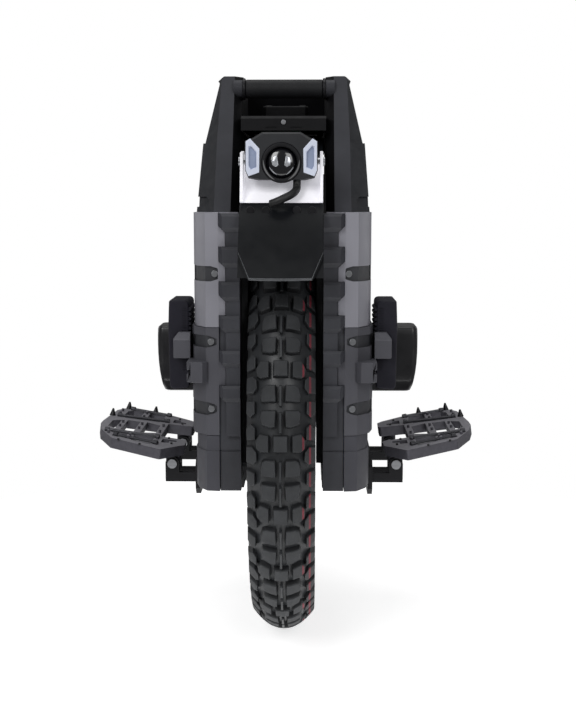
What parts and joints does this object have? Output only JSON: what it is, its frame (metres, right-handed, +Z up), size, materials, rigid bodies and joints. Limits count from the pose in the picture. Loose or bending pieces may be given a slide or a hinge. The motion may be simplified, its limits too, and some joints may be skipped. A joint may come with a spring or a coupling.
{
  "type": "electric unicycle",
  "caption": "Suspension electric unicycle with knobbed off-road tyre, carry handle cage, tilting headlight, leg pads and folding spiked pedals.",
  "frame": {"origin": "on the ground under the axle, centre of the footprint", "axes": "+X to the right seen from the front with the wheel's axle along X, front faces -Y, +Z up"},
  "size_m": [0.4522, 0.5, 0.656],
  "materials": {
    "tyre_rubber": "knobbed off-road rubber",
    "frame_alloy": "satin",
    "steel": "brushed",
    "black_steel": "black oxide",
    "copper": "enamelled copper wire",
    "cage_plastic": "fine grained black",
    "panel_silver": "metallic silver grey",
    "panel_grey": "metallic mid grey",
    "panel_dark": "dark grey",
    "bumper_plastic": "moulded dark grey",
    "fender_plastic": "smooth black",
    "grip_rubber": "soft grip",
    "front_pad_rubber": "blue black",
    "rear_pad_rubber": "glossy black moulding",
    "pedal_alloy": "sand-blasted grey",
    "spike_black": "black",
    "bracket_silver": "bright",
    "chrome": "polished",
    "lens_glass": "dark projector lens",
    "lamp_white": "white diffuser",
    "lamp_red": "red diffuser",
    "board": "circuit board",
    "magnet": "nickel",
    "screen": "dark screen",
    "cable": "cable jacket",
    "battery_wrap": "shrink wrap"
  },
  "bodies": {
    "chassis": {"shock_bodies": "black_steel", "shock_springs": "steel", "guide_rods": "chrome", "side_plates": "black_steel", "wheel_well": "fender_plastic", "front_fender": "fender_plastic", "rear_fender": "fender_plastic", "handle_bar": "black_steel", "handle_grip": "grip_rubber", "handle_collars": "black_steel", "controller_case": "cage_plastic", "controller_board": "board", "display_pod": "cage_plastic", "display_glass": "screen", "rear_cowl": "cage_plastic", "tail_light": "lamp_red", "charge_ports": "cable", "battery_packs": "battery_wrap", "lower_covers": "panel_dark", "rear_bumpers": "bumper_plastic", "rear_pads": "rear_pad_rubber", "pad_clamps": "panel_grey", "pad_brackets": "panel_grey", "pedal_hangers": "black_steel", "hinge_pins": "steel", "headlight_bracket": "bracket_silver", "bracket_screws": "steel", "headlight_cable": "cable", "body_screws": "steel", "cage_left": "cage_plastic", "cage_right": "cage_plastic", "upper_cover_left": "panel_silver", "upper_cover_right": "panel_silver", "middle_cover_left": "panel_grey", "middle_cover_right": "panel_grey", "front_bumper_left": "bumper_plastic", "front_bumper_right": "bumper_plastic", "front_pad_left": "front_pad_rubber", "front_pad_right": "front_pad_rubber"},
    "wheel_carriage": {"axle": "steel", "stator": "magnet", "stator_windings": "copper", "axle_blocks": "frame_alloy", "shock_shafts": "chrome"},
    "wheel": {"tyre": "tyre_rubber", "rim": "black_steel", "rotor_magnets": "magnet", "motor_covers": "frame_alloy", "motor_screws": "steel", "wheel_bearings": "steel"},
    "headlight": {"headlight_housing": "panel_dark", "headlight_bezel": "chrome", "headlight_lens": "lens_glass", "running_lights": "lamp_white"},
    "pedal_left": {"pedal_left": "pedal_alloy", "pedal_spikes_left": "spike_black"},
    "pedal_right": {"pedal_right": "pedal_alloy", "pedal_spikes_right": "spike_black"},
    "power_button": {"power_button": "grip_rubber"},
    "light_button": {"light_button": "grip_rubber"}
  },
  "joints": [
    {"name": "suspension", "type": "slide", "parent": "chassis", "child": "wheel_carriage", "axis": [0, 0, 1], "range_m": [0, 0.08], "stiffness_N_per_m": 18000, "springref_m": -0.004, "deforming": ["shock_springs"]},
    {"name": "wheel_spin", "type": "hinge", "parent": "wheel_carriage", "child": "wheel", "pos_m": [0, 0, 0.25], "axis": [1, 0, 0], "continuous": true},
    {"name": "headlight_tilt", "type": "hinge", "parent": "chassis", "child": "headlight", "pos_m": [0, -0.17702, 0.5566], "axis": [1, 0, 0], "range_deg": [-10, 10]},
    {"name": "pedal_left_fold", "type": "hinge", "parent": "chassis", "child": "pedal_left", "pos_m": [-0.13, -0.008, 0.213], "axis": [0, 1, 0], "range_deg": [0, 60]},
    {"name": "pedal_right_fold", "type": "hinge", "parent": "chassis", "child": "pedal_right", "pos_m": [0.13, -0.008, 0.213], "axis": [0, -1, 0], "range_deg": [0, 60]},
    {"name": "power_button_press", "type": "slide", "parent": "chassis", "child": "power_button", "axis": [0, 0, -1], "range_m": [0, 0.0015], "stiffness_N_per_m": 400},
    {"name": "light_button_press", "type": "slide", "parent": "chassis", "child": "light_button", "axis": [0, 0, -1], "range_m": [0, 0.0015], "stiffness_N_per_m": 400}
  ]
}
